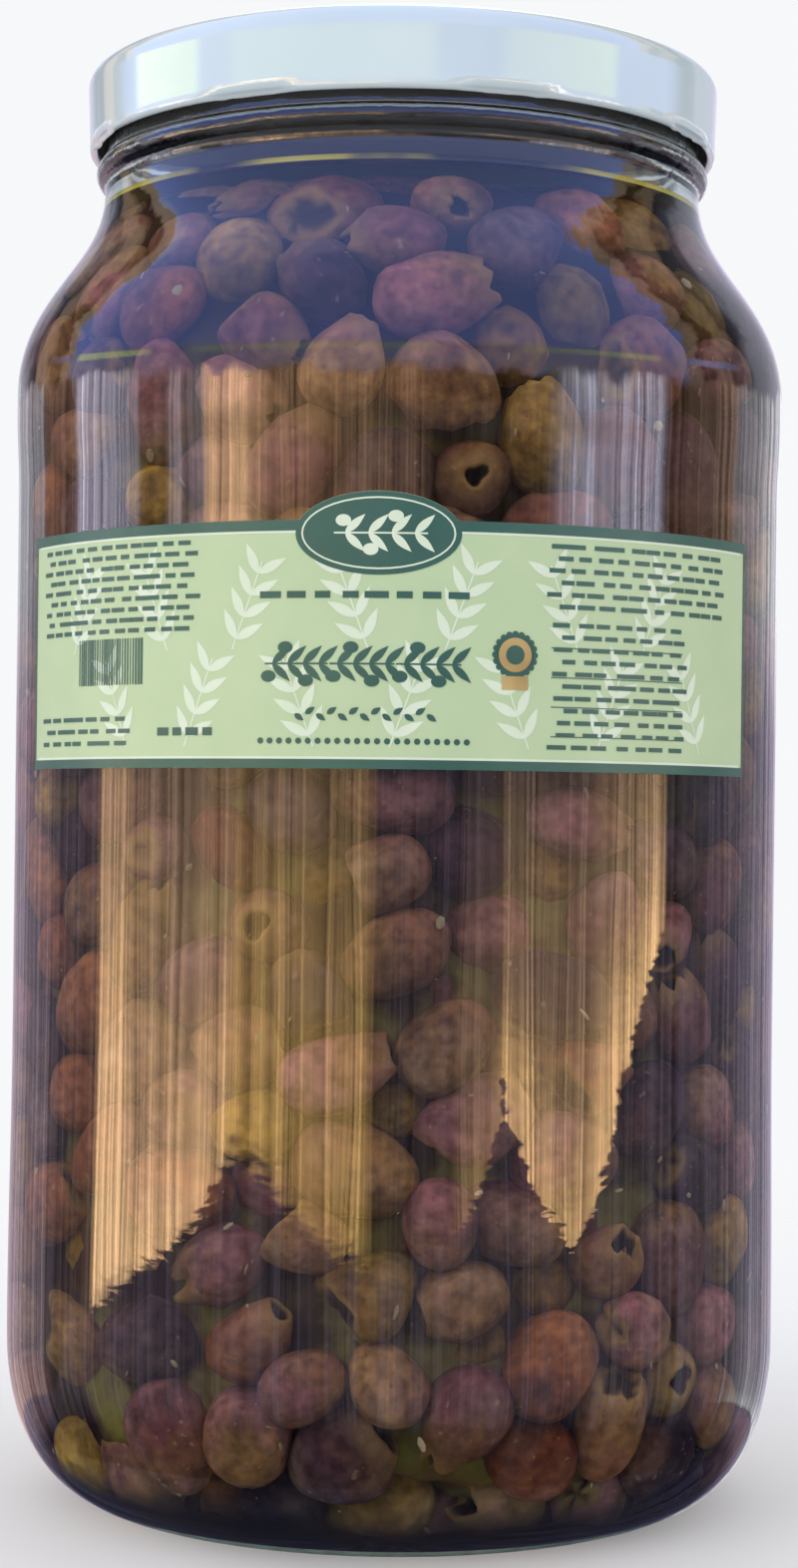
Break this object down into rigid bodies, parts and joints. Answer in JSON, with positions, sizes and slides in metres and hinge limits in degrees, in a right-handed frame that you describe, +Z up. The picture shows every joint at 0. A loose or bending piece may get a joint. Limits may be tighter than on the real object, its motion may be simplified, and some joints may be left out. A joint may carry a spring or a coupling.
{
  "type": "jar of olives",
  "caption": "Large clear glass jar with a rounded heel and shoulder, a white twist-off lid and a wrap label, filled with small pitted olives in oil.",
  "frame": {"origin": "centre of the jar's base, on the plane of the ring it stands on", "axes": "+Z up along the jar's axis, -Y towards the middle of the label, +X to the right of the label"},
  "size_m": [0.1382, 0.1383, 0.255],
  "materials": {
    "clear_glass": "polished",
    "white_lacquer": "gloss",
    "label_paper": "satin",
    "olive_skin": "moist"
  },
  "bodies": {
    "root": {"glass_jar": "clear_glass", "lid": "white_lacquer", "label": "label_paper", "olives": "olive_skin"}
  },
  "joints": []
}
